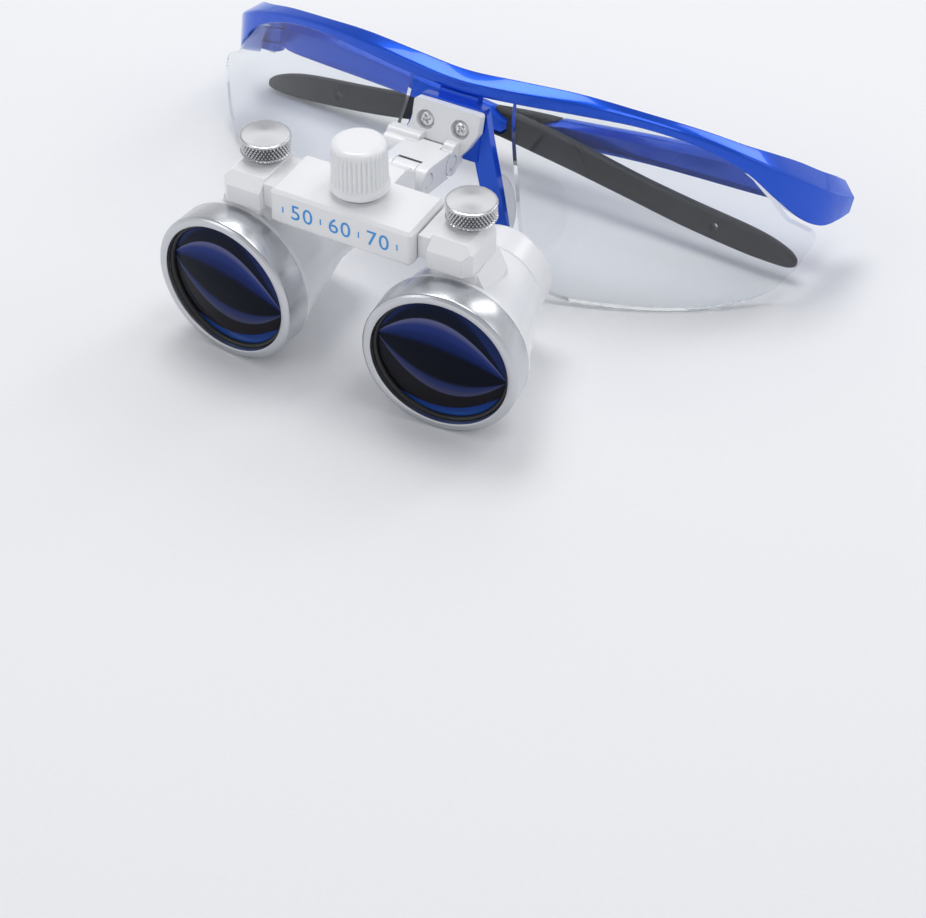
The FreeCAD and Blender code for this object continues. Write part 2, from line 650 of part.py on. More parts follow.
front_ring = turned([(16.9, 0.0), (17.5, 0.1), (18.0, 0.4), (ring_radius, 0.9),
                     (ring_radius, ring_depth - 0.3), (17.95, ring_depth), (17.1, ring_depth),
                     (17.1, 3.4), (15.4, 3.4), (15.4, 2.7), (16.2, 0.7), (16.4, 0.25)],
                    face, back)
shell = turned([(17.1, 3.8), (17.1, ring_depth), (17.9, ring_depth), (17.8, 8.6), (17.2, 9.2),
                (12.4, 28.8), (11.0, 28.8), (11.0, 33.5), (9.6, 33.5), (9.6, 29.5), (10.2, 27.5),
                (14.6, 9.4), (15.6, 8.4), (15.6, 3.8)], face, back)
pad_top = saddle_bottom - 0.1
pad = box(-4.9, 4.9, -9.5, 3.2, barrel_axis_z + 11.0, pad_top)
pad = pad.cut(turned([(0, 3.0), (14.7, 3.0), (14.7, 9.4), (10.3, 27.5), (9.7, 33.5), (0, 33.5)],
                     face, back))
pad = pad.cut(turned([(0, -1), (20, -1), (20, ring_depth + 0.05), (0, ring_depth + 0.05)],
                     face, back))
flank_outline = [(-4.9, pad_top), (4.9, pad_top), (7.4, 32.0), (7.4, 29.0), (-7.4, 29.0),
                 (-7.4, 32.0)]
flank = prism([V(a, -8.6, b) for a, b in flank_outline], V(0, 11.6, 0))
flank = flank.cut(turned([(0, 3.0), (14.7, 3.0), (14.7, 9.4), (10.3, 27.5), (9.7, 33.5), (0, 33.5)],
                         face, back))
shell = shell.fuse(pad).fuse(flank).removeSplitter()
shell = shell.cut(Part.makeCylinder(thumb_shank + slide_clearance, 6.0, V(0, 0, 33.0)))


def ball_lens(radius, front_h, back_h, front_bulge, back_bulge):
    """Lens disc with spherical faces; heights are counted from the front face of the barrel."""
    points = []
    for bulge, height, sign in ((front_bulge, front_h, -1), (back_bulge, back_h, 1)):
        sphere = (radius ** 2 + bulge ** 2) / (2 * abs(bulge))
        points.append((sphere, height, sign, bulge))
    edges = []
    rim = [V(radius, h, 0) for h in (front_h, back_h)]
    crown = []
    for sphere, height, sign, bulge in points:
        mid_r = radius / 2
        sag = sphere - math.sqrt(sphere ** 2 - mid_r ** 2)
        tip_h = height + sign * bulge
        mid_h = tip_h - sign * math.copysign(sag, bulge)
        crown.append((V(0, tip_h, 0), V(mid_r, mid_h, 0)))
    edges.append(Part.Arc(rim[0], crown[0][1], crown[0][0]).toShape())
    edges.append(Part.makeLine(crown[0][0], crown[1][0]))
    edges.append(Part.Arc(crown[1][0], crown[1][1], rim[1]).toShape())
    edges.append(Part.makeLine(rim[1], rim[0]))
    disc = Part.Face(Part.Wire(edges)).revolve(V(0, 0, 0), V(0, 1, 0), 360)
    disc.translate(face)
    return disc


objective = ball_lens(15.5, 3.5, 5.6, 1.6, 1.2)
baffle = turned([(14.2, 9.6), (14.2, 10.3), (13.2, 10.6), (9.9, 26.4), (9.3, 26.4), (12.7, 10.0),
                 (12.7, 9.6)], face, back)
eyepiece = ball_lens(9.5, 30.0, 34.6, -1.0, -1.4)
eye_ring = turned([(11.0, 29.6), (eye_ring_radius - 0.3, 29.6), (eye_ring_radius, 29.9),
                   (eye_ring_radius, 36.9), (eye_ring_radius - 0.5, 38.0),
                   (eye_ring_radius - 1.5, barrel_length), (9.6, barrel_length), (8.6, 37.6),
                   (8.6, 36.0), (9.6, 36.0), (9.6, 33.6), (11.0, 33.6)], face, back)

barrel = {"front_ring": front_ring, "barrel_shell": shell, "objective_lens": objective,
          "baffle_sleeve": baffle, "eyepiece_lens": eyepiece, "eyepiece_ring": eye_ring}
for piece, shape in barrel.items():
    right = moved(shape, V(barrel_x, 0, 0), toe_out)
    keep(piece + "_right", right)
    keep(piece + "_left", mirrored(right))

# ---------------------------------------------------------------- write the pieces
for name, shape in parts.items():
    moved(shape, V(0, -footprint_middle, 0)).exportStep("parts/" + name + ".step")
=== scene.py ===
"""Dental loupes: looks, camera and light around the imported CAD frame."""

import json
import logging
import math
from dataclasses import dataclass
from enum import Enum
from typing import Callable, Dict, List, Sequence, Tuple, Union

import bmesh
import bpy
from bpy.types import Material, Node, NodeSocket, NodeTree, Object
from mathutils import Euler, Matrix, Vector


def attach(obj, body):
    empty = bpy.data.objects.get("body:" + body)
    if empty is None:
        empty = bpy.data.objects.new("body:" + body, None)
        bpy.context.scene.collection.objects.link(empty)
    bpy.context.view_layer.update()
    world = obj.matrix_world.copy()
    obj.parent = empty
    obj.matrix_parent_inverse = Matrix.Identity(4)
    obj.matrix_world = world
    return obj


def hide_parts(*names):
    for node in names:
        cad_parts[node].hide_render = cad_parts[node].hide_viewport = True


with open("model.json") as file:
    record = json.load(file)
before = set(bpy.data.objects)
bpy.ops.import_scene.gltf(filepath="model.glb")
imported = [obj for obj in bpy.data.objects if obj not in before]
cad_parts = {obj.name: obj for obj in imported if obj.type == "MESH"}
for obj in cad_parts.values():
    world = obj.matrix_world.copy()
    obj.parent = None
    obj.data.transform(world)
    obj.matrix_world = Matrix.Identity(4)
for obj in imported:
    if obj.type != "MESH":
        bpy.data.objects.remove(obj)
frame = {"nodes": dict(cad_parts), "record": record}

LOG = logging.getLogger("loupes")
Row = Tuple[float, ...]
Rows = Sequence[Row]
Point2 = Tuple[float, float]
Outline = Sequence[Point2]
Triple = Tuple[float, float, float]
Stop = Tuple[float, Triple]
Pieces = List[Object]
Feed = Union[float, Row, NodeSocket]
Group = Tuple["Wiring", Node, Node]

MM = 0.001


def moved(x: float, y: float, z: float) -> Matrix:
    """A move by so many millimetres."""
    return Matrix.Translation((x * MM, y * MM, z * MM))


def spun(degrees: float, axis: str = "Z") -> Matrix:
    """A turn about one axis."""
    return Matrix.Rotation(math.radians(degrees), 4, axis)


# The frame of the glasses, tilted back, and their right temple hinge in it: across, setback, height.
GLASSES = moved(0.0, 8.595, 44.6) @ spun(-16.0, "X")
HINGE = (73.6, 43.5, -15.5)
# Loupe places, in millimetres: the thumb screws, the face of the front bar and the barrel's axis.
THUMB_X, THUMB_Y = 25.5, -33.905
BAR_FACE_Y = THUMB_Y - 12.0
BARREL_HEIGHT, BARREL_REACH = 18.2, 18.0
# Radius given to a turned point on the axis, so that its ring can still be skinned.
AXIS = 1e-4


class Side(Enum):
    """Which half of the object a piece belongs to; the value is the sign of X."""

    RIGHT = 1
    LEFT = -1

    @property
    def word(self) -> str:
        """The side's name as the CAD nodes spell it."""
        return self.name.lower()


# ---------------- finishes
@dataclass(frozen=True)
class Finish:
    """Constant shader values of one material.

    Args:
        color: base colour, linear RGB.
        roughness: microfacet roughness.
        metallic: 0 for plastics and glass, 1 for bare metal.
        coat: strength of the clear top coat.
        coat_roughness: roughness of that coat.
        transmission: share of light that passes through.
        ior: index of refraction.
        specular: specular level, 0.5 is the physical value.
        tint: colour of the mirror reflection.
        subsurface: weight of light scattered under the surface.
        anisotropic: stretch of the highlight along the lathe marks.
    """

    color: Triple
    roughness: float = 0.4
    metallic: float = 0.0
    coat: float = 0.0
    coat_roughness: float = 0.03
    transmission: float = 0.0
    ior: float = 1.5
    specular: float = 0.5
    tint: Triple = (1.0, 1.0, 1.0)
    subsurface: float = 0.0
    anisotropic: float = 0.0

    def values(self) -> Dict[str, Feed]:
        """Name the same values as the shader does.

        Returns:
            Each value by its socket's name.
        """
        return {
            "Base Color": (*self.color, 1.0),
            "Metallic": self.metallic,
            "Roughness": self.roughness,
            "IOR": self.ior,
            "Specular IOR Level": self.specular,
            "Specular Tint": (*self.tint, 1.0),
            "Transmission Weight": self.transmission,
            "Coat Weight": self.coat,
            "Coat Roughness": self.coat_roughness,
            "Subsurface Weight": self.subsurface,
            "Subsurface Scale": 0.6 * MM,
            "Anisotropic": self.anisotropic,
        }


@dataclass(frozen=True)
class Texture:
    """How a finish varies over the surface.

    Args:
        grain_scale: size of the surface grain, waves per metre.
        grain: height of the grain's bump, 0 to leave it out.
        shade: how far the base colour drifts, 0 to 1.
        wear: how much the roughness drifts, 0 to 1.
        edge: radius of the softened edges in millimetres, 0 for none.
        lathe: turning marks per metre along the piece's own Z or radius, 0 for none.
        painted_reflection: whether the colour is the painted reflection bands of an objective.
    """

    grain_scale: float = 900.0
    grain: float = 0.05
    shade: float = 0.04
    wear: float = 0.08
    edge: float = 0.0
    lathe: float = 0.0
    painted_reflection: bool = False


class Wiring:
    """Adds and joins nodes in one tree."""

    def __init__(self, tree: NodeTree) -> None:
        """Keep the tree of a group, a material or the world."""
        self.tree = tree

    def feed(self, socket: NodeSocket, value: Feed) -> None:
        """Fill an input.

        Args:
            socket: the input.
            value: an output to link to it, or a plain value.
        """
        if isinstance(value, NodeSocket):
            self.tree.links.new(value, socket)
        else:
            socket.default_value = value

    def add(self, kind: str, **inputs: Feed) -> Node:
        """Add a node.

        Args:
            kind: its type, without the word ShaderNode.
            inputs: what its named inputs get.

        Returns:
            The node.
        """
        node = self.tree.nodes.new("ShaderNode" + kind)
        for name, value in inputs.items():
            self.feed(node.inputs[name], value)
        return node

    def coordinates(self, kind: str) -> NodeSocket:
        """Texture coordinates of the kind that is named."""
        return self.add("TexCoord").outputs[kind]

    def math(self, operation: str, *values: Feed) -> NodeSocket:
        """Add a math node.

        Args:
            operation: what it does.
            values: its inputs in order.

        Returns:
            Its output.
        """
        node = self.add("Math")
        node.operation = operation
        for socket, value in zip(node.inputs, values):
            self.feed(socket, value)
        return node.outputs[0]

    def ramp(self, value: Feed, stops: Sequence[Stop], blend: str = "LINEAR") -> NodeSocket:
        """Turn a value into a colour.

        Args:
            value: the value, 0 to 1.
            stops: places and colours, lowest first.
            blend: how the colours run into each other.

        Returns:
            The colour.
        """
        node = self.add("ValToRGB", Fac=value)
        node.color_ramp.interpolation = blend
        for i, (at, color) in enumerate(stops):
            stop = node.color_ramp.elements[i] if i < 2 else node.color_ramp.elements.new(at)
            stop.position, stop.color = at, (*color, 1.0)
        return node.outputs["Color"]

    def group(self, tree: NodeTree, **inputs: float) -> Node:
        """Place a shared group.

        Args:
            tree: the group.
            inputs: its input values by name.

        Returns:
            The group node.
        """
        node = self.add("Group")
        node.node_tree = tree
        for name, value in inputs.items():
            node.inputs[name].default_value = value
        return node


class ShaderGroups:
    """Node groups shared by all materials."""

    # The painted reflection bands of the objective by their height over the lens, 0.5 at its middle.
    REFLECTION_BANDS = (
        (0.0, (0.006, 0.005, 0.006)), (0.262, (0.010, 0.008, 0.009)),
        (0.272, (0.060, 0.064, 0.130)), (0.330, (0.022, 0.034, 0.130)),
        (0.375, (0.001, 0.001, 0.004)), (0.560, (0.001, 0.001, 0.005)),
        (0.620, (0.007, 0.018, 0.110)), (0.700, (0.022, 0.040, 0.200)),
        (0.750, (0.130, 0.140, 0.270)), (0.760, (0.006, 0.006, 0.010)),
        (0.830, (0.005, 0.007, 0.020)), (0.890, (0.014, 0.024, 0.110)),
    )
    # The painted blue reflection crescent at the foot of the lens.
    REFLECTION_CRESCENT = (
        (0.0, (0.0, 0.0, 0.0)), (0.60, (0.0, 0.0, 0.0)),
        (0.66, (0.010, 0.045, 0.24)), (1.0, (0.02, 0.085, 0.36)),
    )

    def __init__(self) -> None:
        """Build every group once."""
        self.grain = self._grain()
        self.drift = self._drift()
        self.lathe = self._lathe()
        self.reflection_paint = self._reflection_paint()

    @staticmethod
    def _group(name: str, inputs: Dict[str, float], output: str, kind: str) -> Group:
        """Make an empty group with its sockets.

        Args:
            name: group name.
            inputs: its number inputs and their usual values.
            output: name of its one output.
            kind: socket type of that output. A normal comes in as well where a normal goes out.

        Returns:
            The group's wiring and its input and output nodes.
        """
        tree = bpy.data.node_groups.new(name, "ShaderNodeTree")
        for label, usual in inputs.items():
            socket = tree.interface.new_socket(name=label, in_out="INPUT", socket_type="NodeSocketFloat")
            socket.default_value = usual
        if output == "Normal":
            tree.interface.new_socket(name="Normal", in_out="INPUT", socket_type=kind)
        tree.interface.new_socket(name=output, in_out="OUTPUT", socket_type=kind)
        return Wiring(tree), tree.nodes.new("NodeGroupInput"), tree.nodes.new("NodeGroupOutput")

    @staticmethod
    def _press(group: Group, vector: NodeSocket, detail: float, depth: float) -> NodeTree:
        """Press noise into a group's normal.

        Args:
            group: what _group returned.
            vector: where the noise is read.
            detail: octaves of the noise.
            depth: height of the bump in millimetres at full strength.

        Returns:
            The finished group.
        """
        wiring, entry, leave = group
        noise = wiring.add("TexNoise", Vector=vector, Scale=entry.outputs["Scale"], Detail=detail)
        bump = wiring.add(
            "Bump",
            Distance=depth * MM,
            Strength=entry.outputs["Strength"],
            Normal=entry.outputs["Normal"],
            Height=noise.outputs["Fac"],
        )
        wiring.feed(leave.inputs["Normal"], bump.outputs["Normal"])
        return wiring.tree

    def _grain(self) -> NodeTree:
        """Fine moulded or blasted grain as a normal."""
        group = self._group("fine_grain", {"Scale": 900.0, "Strength": 0.05}, "Normal", "NodeSocketVector")
        return self._press(group, group[0].coordinates("Object"), detail=3.0, depth=0.02)

    def _lathe(self) -> NodeTree:
        """Make turning marks round the piece's own Z axis, as a normal.

        Returns:
            The group.
        """
        group = self._group("lathe_marks", {"Scale": 4000.0, "Strength": 0.1}, "Normal", "NodeSocketVector")
        wiring = group[0]
        x, y, z = wiring.add("SeparateXYZ", Vector=wiring.coordinates("Object")).outputs
        reach = wiring.add("VectorMath", Vector=wiring.add("CombineXYZ", X=x, Y=y).outputs[0])
        reach.operation = "LENGTH"
        rings = wiring.add("CombineXYZ", X=reach.outputs["Value"], Z=z)
        return self._press(group, rings.outputs[0], detail=2.0, depth=0.015)

    def _drift(self) -> NodeTree:
        """Make a slow drift for colour and roughness, centred on one.

        Returns:
            The group.
        """
        inputs = {"Scale": 60.0, "Amount": 0.05}
        wiring, entry, leave = self._group("slow_drift", inputs, "Value", "NodeSocketFloat")
        vector = wiring.coordinates("Object")
        noise = wiring.add("TexNoise", Vector=vector, Scale=entry.outputs["Scale"], Detail=4.0)
        centred = wiring.math("SUBTRACT", noise.outputs["Fac"], 0.5)
        spread = wiring.math("MULTIPLY", centred, entry.outputs["Amount"])
        wiring.feed(leave.inputs["Value"], wiring.math("ADD", spread, 1.0))
        return wiring.tree

    def _reflection_paint(self) -> NodeTree:
        """Make the painted reflection bands of an objective, across the XY of the piece's own box.

        Returns:
            The group.
        """
        wiring, _, leave = self._group("painted_lens_reflection", {}, "Color", "NodeSocketColor")
        calc = wiring.math
        x, y, _ = wiring.add("SeparateXYZ", Vector=wiring.coordinates("Generated")).outputs
        across = calc("MULTIPLY_ADD", x, 2.0, -1.0)
        up = calc("MULTIPLY_ADD", y, -2.0, 1.0)
        square = calc("MULTIPLY", across, across)
        tilted = calc("ADD", up, calc("MULTIPLY", across, 0.14))
        height = calc("SUBTRACT", tilted, 0.045)
        almond = calc("DIVIDE", height, calc("SUBTRACT", 1.04, square))
        bands = wiring.ramp(calc("ADD", calc("MULTIPLY", almond, 0.4), 0.5), self.REFLECTION_BANDS, "EASE")
        reach = calc("ADD", square, calc("MULTIPLY", up, up))
        down = calc("MULTIPLY", calc("MULTIPLY", up, reach), -1.0)
        foot = calc("ADD", down, calc("MULTIPLY", across, 0.22))
        blend = wiring.add("Mix")
        blend.data_type = "RGBA"
        blend.blend_type = "LIGHTEN"
        blend.inputs["Factor"].default_value = 1.0
        wiring.feed(blend.inputs["A"], bands)
        wiring.feed(blend.inputs["B"], wiring.ramp(foot, self.REFLECTION_CRESCENT, "EASE"))
        wiring.feed(leave.inputs["Color"], blend.outputs["Result"])
        return wiring.tree


class Palette:
    """Makes and keeps the materials."""

    def __init__(self, groups: ShaderGroups) -> None:
        """Keep the shared groups and start with no material."""
        self.groups = groups
        self.made: Dict[str, Material] = {}

    def __getitem__(self, name: str) -> Material:
        """The material of that name."""
        return self.made[name]

    def add(self, name: str, finish: Finish, texture: Texture) -> None:
        """Make one material.

        Args:
            name: the record's slot name, or a look of its own.
            finish: the constant values.
            texture: how it varies.
        """
        material = bpy.data.materials.new("look_" + name)
        material.use_nodes = True
        wiring = Wiring(material.node_tree)
        shader = material.node_tree.nodes["Principled BSDF"]
        for label, value in finish.values().items():
            shader.inputs[label].default_value = value
        # The objective's base colour is painted reflection bands.
        if texture.painted_reflection:
            wiring.feed(shader.inputs["Base Color"], wiring.group(self.groups.reflection_paint).outputs["Color"])
        elif texture.shade:
            drift = wiring.group(self.groups.drift, Scale=95.0, Amount=texture.shade * 2.0)
            tone = wiring.add("HueSaturation", Color=(*finish.color, 1.0), Value=drift.outputs["Value"])
            wiring.feed(shader.inputs["Base Color"], tone.outputs["Color"])
        if texture.wear:
            drift = wiring.group(self.groups.drift, Scale=210.0, Amount=texture.wear * 2.0)
            worn = wiring.math("MULTIPLY", drift.outputs["Value"], finish.roughness)
            wiring.feed(shader.inputs["Roughness"], worn)
        self._normals(wiring, shader.inputs["Normal"], texture)
        self.made[name] = material

    def _normals(self, wiring: Wiring, normal: NodeSocket, texture: Texture) -> None:
        """Chain soft edges, grain and lathe marks into the normal.

        Args:
            wiring: the material's nodes.
            normal: the shader's input.
            texture: which of them the surface has.
        """
        chain = []
        if texture.edge:
            chain.append(wiring.add("Bevel", Radius=texture.edge * MM))
            chain[0].samples = 4
        if texture.grain:
            chain.append(wiring.group(self.groups.grain, Scale=texture.grain_scale, Strength=texture.grain))
        if texture.lathe:
            chain.append(wiring.group(self.groups.lathe, Scale=texture.lathe, Strength=0.35))
        for before, after in zip(chain, chain[1:]):
            wiring.feed(after.inputs["Normal"], before.outputs["Normal"])
        if chain:
            wiring.feed(normal, chain[-1].outputs["Normal"])


FINISHES: Dict[str, Tuple[Finish, Texture]] = {
    "blue_lacquer": (
        Finish(
            (0.004, 0.078, 0.64), roughness=0.22, metallic=0.55,
            coat=0.55, coat_roughness=0.015, tint=(0.35, 0.62, 1.0),
        ),
        Texture(grain_scale=5200.0, grain=0.03, shade=0.04, wear=0.03, edge=0.16),
    ),
    "white_plastic": (
        Finish((0.88, 0.885, 0.895), roughness=0.3, coat=0.35, coat_roughness=0.15),
        Texture(grain_scale=2600.0, grain=0.03, shade=0.008, wear=0.06, edge=0.25),
    ),
    "silver_metal": (
        Finish((0.61, 0.62, 0.645), roughness=0.26, metallic=1.0, anisotropic=0.3),
        Texture(grain_scale=3000.0, grain=0.02, shade=0.006, wear=0.02, lathe=5200.0),
    ),
    "steel": (
        Finish((0.80, 0.80, 0.81), roughness=0.2, metallic=1.0),
        Texture(grain_scale=4200.0, grain=0.03, shade=0.02, wear=0.08, edge=0.06),
    ),
    "spun_steel": (
        Finish((0.68, 0.685, 0.70), roughness=0.18, metallic=1.0, anisotropic=0.65),
        Texture(grain_scale=4200.0, grain=0.02, shade=0.01, wear=0.04, lathe=6500.0),
    ),
    # Painted shade for the knurl's grooves: the same steel, darker.
    "knurl_painted_shade": (Finish((0.13, 0.13, 0.14), roughness=0.4, metallic=1.0), Texture(grain=0.03, shade=0.02)),
    "brass": (
        Finish((0.72, 0.52, 0.22), roughness=0.3, metallic=1.0),
        Texture(grain=0.05, shade=0.03, edge=0.05),
    ),
    "dark_rubber": (
        Finish((0.019, 0.019, 0.023), roughness=0.58, specular=0.4),
        Texture(grain_scale=3400.0, grain=0.15, shade=0.05, wear=0.1, edge=0.3),
    ),
    "clear_rubber": (
        Finish((0.86, 0.88, 0.89), roughness=0.32, transmission=0.7, ior=1.41, subsurface=0.1),
        Texture(grain_scale=1500.0, grain=0.06, shade=0.01, wear=0.05),
    ),
    "clear_lens": (
        Finish(
            (0.90, 0.925, 0.94), roughness=0.0, transmission=1.0, ior=1.08,
            coat=0.7, coat_roughness=0.0,
        ),
        Texture(grain=0.0, shade=0.004, wear=0.0),
    ),
    # Its base colour is replaced by painted reflection bands.
    "objective_glass": (
        Finish(
            (0.02, 0.04, 0.16), roughness=0.03, transmission=0.1, ior=1.4,
            specular=0.16, tint=(0.45, 0.6, 1.0),
        ),
        Texture(grain=0.0, shade=0.02, wear=0.0, painted_reflection=True),
    ),
    "eyepiece_glass": (
        Finish(
            (0.75, 0.8, 0.9), roughness=0.01, transmission=1.0, ior=1.55,
            specular=0.9, tint=(0.5, 0.8, 0.7),
        ),
        Texture(grain=0.0, shade=0.02, wear=0.0),
    ),
    "black_plastic": (
        Finish((0.010, 0.010, 0.011), roughness=0.38),
        Texture(grain_scale=2800.0, grain=0.08, shade=0.08, wear=0.1, edge=0.2),
    ),
    "scale_ink": (
        Finish((0.05, 0.32, 0.78), roughness=0.45),
        Texture(grain_scale=4200.0, grain=0.03, shade=0.03, wear=0.05),
    ),
}


# ---------------- mesh tools
def smooth_rows(rows: Rows, steps: int) -> List[Row]:
    """Catmull-Rom through rows of numbers.

    Args:
        rows: the control rows, all of one length.
        steps: how many new rows each span gets.

    Returns:
        The rows of the smooth run, both ends included.
    """
    out: List[Row] = []
    last = len(rows) - 1
    for i in range(last):
        before = rows[max(i - 1, 0)]
        after = rows[min(i + 2, last)]
        for k in range(steps):
            t = k / steps
            row = []
            for a, b, c, d in zip(before, rows[i], rows[i + 1], after):
                bend = (2 * a - 5 * b + 4 * c - d) * t**2 + (3 * b - a - 3 * c + d) * t**3
                row.append(0.5 * (2 * b + (c - a) * t + bend))
            out.append(tuple(row))
    out.append(tuple(rows[-1]))
    return out


def rounded_outline(corners: Outline, radii: Sequence[float], steps: int = 4) -> List[Point2]:
    """Round the corners of a closed outline.

    Args:
        corners: the outline's corners in order.
        radii: how far each corner is cut back along its edges.
        steps: points on each rounded corner beyond the first.

    Returns:
        A closed outline with the same number of points for any corner positions.
    """
    out: List[Point2] = []
    count = len(corners)
    for i, (corner, radius) in enumerate(zip(corners, radii)):
        here = Vector(corner)
        ends = []
        for other in (corners[i - 1], corners[(i + 1) % count]):
            run = Vector(other) - here
            ends.append(here + run.normalized() * min(radius, run.length * 0.48))
        for k in range(steps + 1):
            t = k / steps
            out.append(tuple(ends[0] * (1 - t) ** 2 + here * 2 * t * (1 - t) + ends[1] * t * t))
    return out


class Shape:
    """A mesh under construction, in millimetres in its own frame."""

    def __init__(self) -> None:
        """Start with an empty mesh."""
        self.mesh = bmesh.new()

    def loft(self, rings: Sequence[Sequence[Vector]]) -> "Shape":
        """Skin a run of closed rings and close both ends.

        Args:
            rings: rings of equal length.

        Returns:
            This shape.
        """
        rows = [[self.mesh.verts.new(p) for p in ring] for ring in rings]
        size = len(rows[0])
        for a, b in zip(rows, rows[1:]):
            for i in range(size):
                j = (i + 1) % size
                self.mesh.faces.new((a[i], a[j], b[j], b[i]))
        self.mesh.faces.new(rows[0][::-1])
        self.mesh.faces.new(rows[-1])
        return self

    def lathe(
        self, radius_at: Callable[[float, int], float], heights: Sequence[float], around: int
    ) -> "Shape":
        """Turn a column whose radius may change with the angle.

        Args:
            radius_at: gives the radius for an angle in turns and a row number.
            heights: Z of each row, bottom first.
            around: points in each row.

        Returns:
            This shape.
        """
        rings = []
        for row, z in enumerate(heights):
            ring = []
            for i in range(around):
                turn = i / around
                radius, angle = radius_at(turn, row), turn * math.tau
                ring.append(Vector((radius * math.cos(angle), radius * math.sin(angle), z)))
            rings.append(ring)
        return self.loft(rings)

    def turned(self, outline: Outline, around: int = 128) -> "Shape":
        """Turn a closed outline round Z.

        Args:
            outline: (radius, z) pairs; the last one joins the first.
            around: points round the axis.

        Returns:
            This shape.
        """
        rows = []
        for i in range(around):
            a = math.tau * i / around
            rows.append([self.mesh.verts.new((r * math.cos(a), r * math.sin(a), z)) for r, z in outline])
        count = len(outline)
        for i in range(around):
            a, b = rows[i], rows[(i + 1) % around]
            for k in range(count):
                m = (k + 1) % count
                self.mesh.faces.new((a[k], b[k], b[m], a[m]))
        return self

    def finish(
        self,
        name: str,
        material: Material,
        place: Matrix,
        sharp: float = 35.0,
        own_frame: bool = True,
    ) -> Object:
        """Turn the shape into an object.

        Args:
            name: piece name.
            material: its material.
            place: where its own frame sits in the row frame, in metres.
            sharp: edges bent more than this many degrees stay crisp.
            own_frame: whether the object keeps that frame, or the mesh is moved instead.

        Returns:
            The new object.
        """
        bmesh.ops.remove_doubles(self.mesh, verts=self.mesh.verts, dist=1e-5)
        bmesh.ops.recalc_face_normals(self.mesh, faces=self.mesh.faces)
        self.mesh.transform(Matrix.Scale(MM, 4) if own_frame else place @ Matrix.Scale(MM, 4))
        for face in self.mesh.faces:
            face.smooth = True
        limit = math.radians(sharp)
        for edge in self.mesh.edges:
            edge.smooth = len(edge.link_faces) == 2 and edge.calc_face_angle(0.0) < limit
        data = bpy.data.meshes.new(name)
        self.mesh.to_mesh(data)
        self.mesh.free()
        data.materials.append(material)
        thing = linked(name, data)
        if own_frame:
            thing.matrix_world = place
        return thing


def linked(name: str, data: bpy.types.ID) -> Object:
    """Put a new object into the scene.

    Args:
        name: its name.
        data: its mesh, text, light or camera.

    Returns:
        The object.
    """
    thing = bpy.data.objects.new(name, data)
    bpy.context.scene.collection.objects.link(thing)
    return thing


def settle(thing: Object, body: str, slot: str, *nodes: str) -> Object:
    """Tie a piece to its body and hide the CAD nodes that it stands for.

    Args:
        thing: the piece.
        body: the CAD body that it rides on.
        slot: the record's material slot; not used.
        nodes: the CAD nodes that it replaces.

    Returns:
        The piece.
    """
    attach(thing, body)
    if nodes:
        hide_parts(*nodes)
    return thing


# ---------------- glasses
@dataclass
class BrowBar:
    """The blue front frame: brow bar, end pieces and hinge lugs.

    Args:
        stations: x, setback, turn in degrees, depth, top, ridge and bottom of each section.
        knuckle: radius, half height of the temple's knuckle and height of one lug.
    """

    stations: Rows = (
        (0.0, 1.1, 0.0, 4.2, 4.6, 2.4, -0.2),
        (14.0, 1.9, 6.0, 3.8, 5.4, 3.1, 0.4),
        (28.0, 4.4, 14.0, 3.4, 5.7, 3.7, 1.1),
        (42.0, 8.8, 21.0, 3.2, 4.3, 2.8, 0.9),
        (54.0, 14.2, 28.0, 3.4, 2.3, 0.5, -1.5),
        (63.5, 20.0, 37.0, 4.4, -0.4, -2.6, -6.0),
        (69.5, 25.6, 48.0, 5.6, -2.5, -5.6, -12.0),
        (74.0, 32.4, 60.0, 6.0, -5.0, -8.8, -17.6),
        (77.4, 38.6, 70.0, 5.4, -7.6, -11.8, -20.2),
        (79.4, 44.6, 79.0, 4.6, -9.8, -14.0, -20.2),
        (80.4, 50.0, 85.0, 4.2, -12.0, -15.6, -19.8),
    )
    knuckle: Row = (3.0, 1.9, 2.4)

    @staticmethod
    def section(row: Row) -> List[Vector]:
        """One rounded section of the bar.

        Args:
            row: a station.

        Returns:
            Its closed ring of points.
        """
        x, s, turn, depth, top, ridge, bottom = row
        half = depth / 2
        front = [(half - 0.5, ridge + 0.5), (half, ridge), (half - 0.45, bottom)]
        corners = [(-half, top - 0.9), (-half + 0.9, top), *front, (-half, bottom)]
        angle = math.radians(turn)
        out = Vector((math.sin(angle), -math.cos(angle), 0.0))
        outline = rounded_outline(corners, (0.45, 0.45, 0.35, 0.35, 0.4, 0.4), 4)
        return [Vector((x, s, v)) + out * n for n, v in outline]

    def build(self, palette: Palette) -> Pieces:
        """Make the bar with its lugs.

        Args:
            palette: the materials.

        Returns:
            The pieces.
        """
        mirrored = [(-r[0], r[1], -r[2], *r[3:]) for r in reversed(self.stations[1:])]
        rows = smooth_rows([*mirrored, *self.stations], 10)
        shape = Shape().loft([self.section(r) for r in rows])
        _, half, high = self.knuckle
        for side in (1, -1):
            for low in (HINGE[2] + half, HINGE[2] - half - high):
                shape.loft(self._lug(side, low))
        bar = shape.finish("brow_bar", palette["blue_lacquer"], GLASSES, 40.0, own_frame=False)
        return [settle(bar, "frame", "blue_lacquer", "front_frame")]

    def _lug(self, side: int, low: float) -> List[List[Vector]]:
        """A hinge lug: a round knuckle that runs out to the end piece.

        Args:
            side: +1 or -1.
            low: height of its underside.

        Returns:
            Its rings, bottom first.
        """
        radius, _, high = self.knuckle
        reach, steps = 5.4, 14
        angles = [math.pi * k / steps for k in range(steps + 1)]
        plan = [(reach, -radius), (reach, radius)]
        plan += [(-radius * math.sin(a), radius * math.cos(a)) for a in angles]
        rings = []
        for z, inset in ((low, 0.25), (low + 0.2, 0.0), (low + high - 0.25, 0.0), (low + high, 0.3)):
            keep = 1 - inset / radius
            rings.append([Vector((side * (HINGE[0] + a * keep), HINGE[1] + b * keep, z)) for a, b in plan])
        return rings


